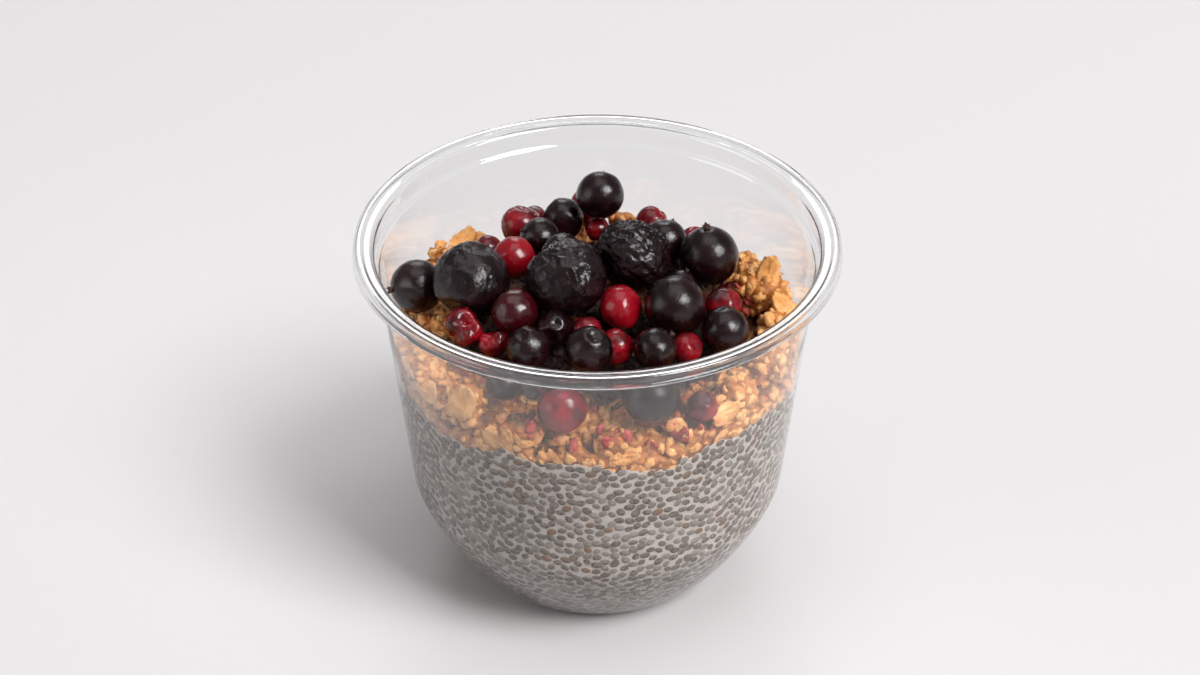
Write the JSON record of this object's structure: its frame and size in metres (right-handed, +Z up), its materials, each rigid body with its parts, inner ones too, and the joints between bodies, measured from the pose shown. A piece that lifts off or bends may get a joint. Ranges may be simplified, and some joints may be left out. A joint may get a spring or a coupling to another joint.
{
  "type": "chia pudding",
  "caption": "Chia pudding in a clear round dessert cup, topped with a heap of granola and whole dark and red berries.",
  "frame": {"origin": "bottom centre of the cup's flat foot, on the surface that it stands on", "axes": "+Z up along the cup's axis, front of the cup towards -Y, +X to the right seen from the front"},
  "size_m": [0.095, 0.095, 0.0767],
  "materials": {
    "clear_plastic": "clear thin PET, glossy",
    "pudding": "grey milk full of soaked chia seeds, wet",
    "granola": "baked oat clusters, rough with honey glints",
    "currant_skin": "black-purple skin, glossy",
    "cranberry_skin": "deep red skin, glossy",
    "blueberry_skin": "wrinkled black-purple skin, streaky sheen"
  },
  "bodies": {
    "root": {"blueberry_01": "blueberry_skin", "blueberry_02": "blueberry_skin", "blueberry_03": "blueberry_skin", "chia_pudding": "pudding", "cranberry_01": "cranberry_skin", "cranberry_02": "cranberry_skin", "cranberry_03": "cranberry_skin", "cranberry_04": "cranberry_skin", "cranberry_05": "cranberry_skin", "cranberry_06": "cranberry_skin", "cranberry_07": "cranberry_skin", "cranberry_08": "cranberry_skin", "cranberry_09": "cranberry_skin", "cranberry_10": "cranberry_skin", "cranberry_11": "cranberry_skin", "cranberry_12": "cranberry_skin", "cranberry_13": "cranberry_skin", "cranberry_14": "cranberry_skin", "cranberry_15": "cranberry_skin", "cranberry_16": "cranberry_skin", "cranberry_17": "cranberry_skin", "cranberry_18": "cranberry_skin", "cranberry_19": "cranberry_skin", "cup": "clear_plastic", "currant_01": "currant_skin", "currant_02": "currant_skin", "currant_03": "currant_skin", "currant_04": "currant_skin", "currant_05": "currant_skin", "currant_06": "currant_skin", "currant_07": "currant_skin", "currant_08": "currant_skin", "currant_09": "currant_skin", "currant_10": "currant_skin", "currant_11": "currant_skin", "currant_12": "currant_skin", "currant_13": "currant_skin", "currant_14": "currant_skin", "currant_15": "currant_skin", "currant_16": "currant_skin", "currant_17": "currant_skin", "granola": "granola"}
  },
  "joints": []
}
